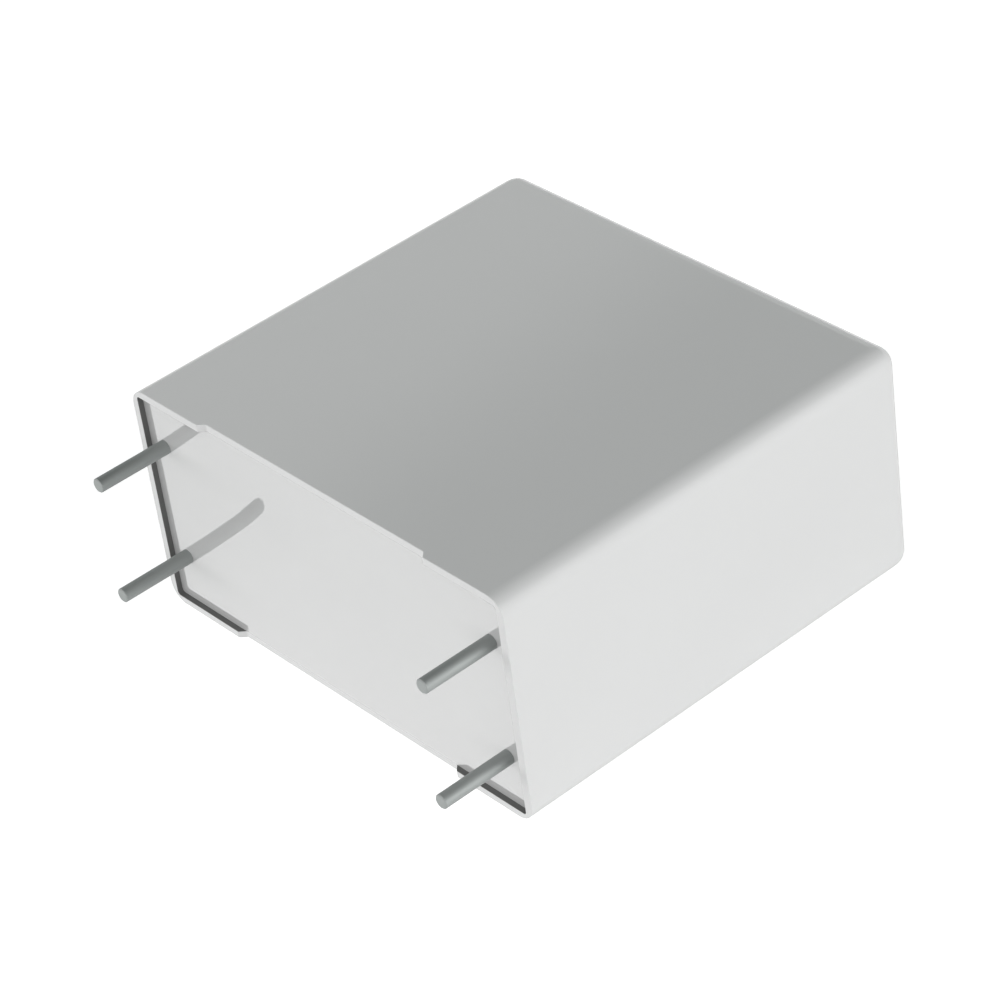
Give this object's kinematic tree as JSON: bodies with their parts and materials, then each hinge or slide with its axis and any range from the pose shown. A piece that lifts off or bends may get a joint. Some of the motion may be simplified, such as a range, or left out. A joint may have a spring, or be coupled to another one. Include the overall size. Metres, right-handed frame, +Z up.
{
  "type": "box film capacitor",
  "caption": "Rectangular moulded plastic box with rounded edges, open on one narrow side where a shallow dished resin fill holds straight wire leads at both ends.",
  "frame": {"origin": "centre of the four leads in the plane of the box's rim, which sits on the board", "axes": "+X along the box from one lead pair to the other, +Y from the open lead side to the closed side, +Z up through the thickness with the part lying on a broad side; the leads point to -Y"},
  "size_m": [0.0424, 0.046, 0.0202],
  "materials": {
    "case": "smooth moulded grey",
    "potting_resin": "glossy light grey cast resin",
    "metallised_film": "wound clear film with a thin metal layer",
    "sprayed_metal": "rough sprayed metal",
    "lead_wire": "tinned copper wire",
    "solder": "smooth solder"
  },
  "bodies": {
    "root": {"case": "case", "potting_resin": "potting_resin", "winding_lower": "metallised_film", "winding_upper": "metallised_film", "end_spray_left_lower": "sprayed_metal", "end_spray_right_lower": "sprayed_metal", "end_spray_left_upper": "sprayed_metal", "end_spray_right_upper": "sprayed_metal", "lead_left_lower": "lead_wire", "lead_right_lower": "lead_wire", "lead_left_upper": "lead_wire", "lead_right_upper": "lead_wire", "solder_left_lower_front": "solder", "solder_left_lower_back": "solder", "solder_right_lower_front": "solder", "solder_right_lower_back": "solder", "solder_left_upper_front": "solder", "solder_left_upper_back": "solder", "solder_right_upper_front": "solder", "solder_right_upper_back": "solder"}
  },
  "joints": []
}
